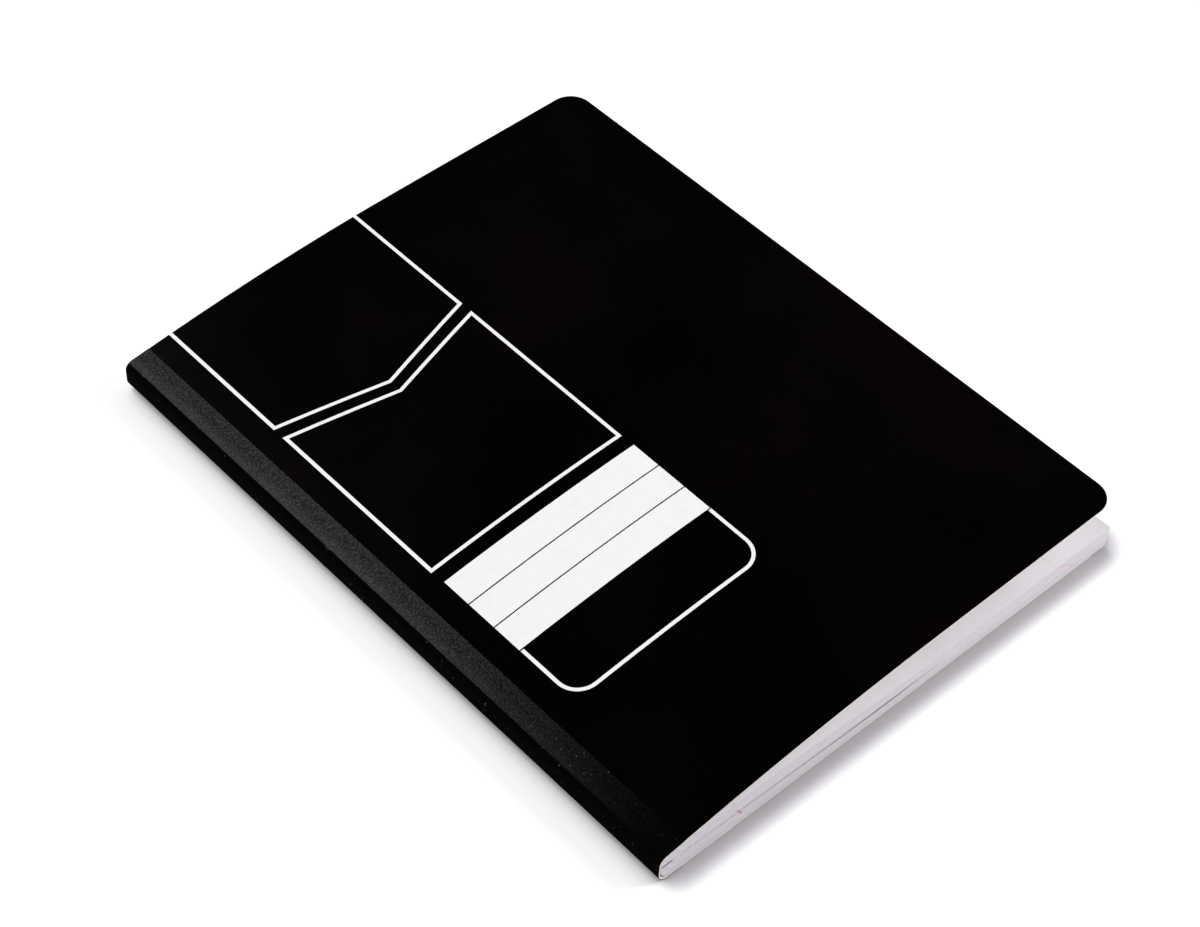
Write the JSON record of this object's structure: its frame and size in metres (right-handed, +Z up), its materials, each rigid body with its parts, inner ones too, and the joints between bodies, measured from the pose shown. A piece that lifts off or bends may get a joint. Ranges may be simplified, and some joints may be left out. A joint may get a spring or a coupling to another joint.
{
  "type": "composition notebook",
  "caption": "Sewn softcover notebook with a taped round spine, rounded cover corners and covers that swing open; the front one rests ajar.",
  "frame": {"origin": "on the table, at the middle of the notebook's footprint", "axes": "+X from the spine to the fore edge, +Y from the tail to the head, +Z up through the front cover"},
  "size_m": [0.1906, 0.2476, 0.0226],
  "materials": {
    "pages": "matt uncoated paper",
    "thread": "twisted thread",
    "cover_card": "black print under a thin gloss film",
    "cloth_tape": "matt black embossed cloth paper",
    "label_ink": "white ink, half matt"
  },
  "bodies": {
    "book_block": {"page_block": "pages", "sewing_thread": "thread", "cover_spine": "cover_card", "spine_tape": "cloth_tape"},
    "front_cover": {"front_cover": "cover_card", "label_top_frame": "label_ink", "label_middle_frame": "label_ink", "label_foot_frame": "label_ink", "label_high_strip": "label_ink", "label_centre_strip": "label_ink", "label_low_strip": "label_ink"},
    "back_cover": {"back_cover": "cover_card"}
  },
  "joints": [
    {"name": "front_cover_hinge", "type": "hinge", "parent": "book_block", "child": "front_cover", "pos_m": [-0.09185, 0, 0.0114], "axis": [0, -1, 0], "range_deg": [-3.8, 176], "deforming": ["spine_tape"]},
    {"name": "back_cover_hinge", "type": "hinge", "parent": "book_block", "child": "back_cover", "pos_m": [-0.09085, 0, 0], "axis": [0, 1, 0], "range_deg": [0, 180], "deforming": ["spine_tape"]}
  ]
}
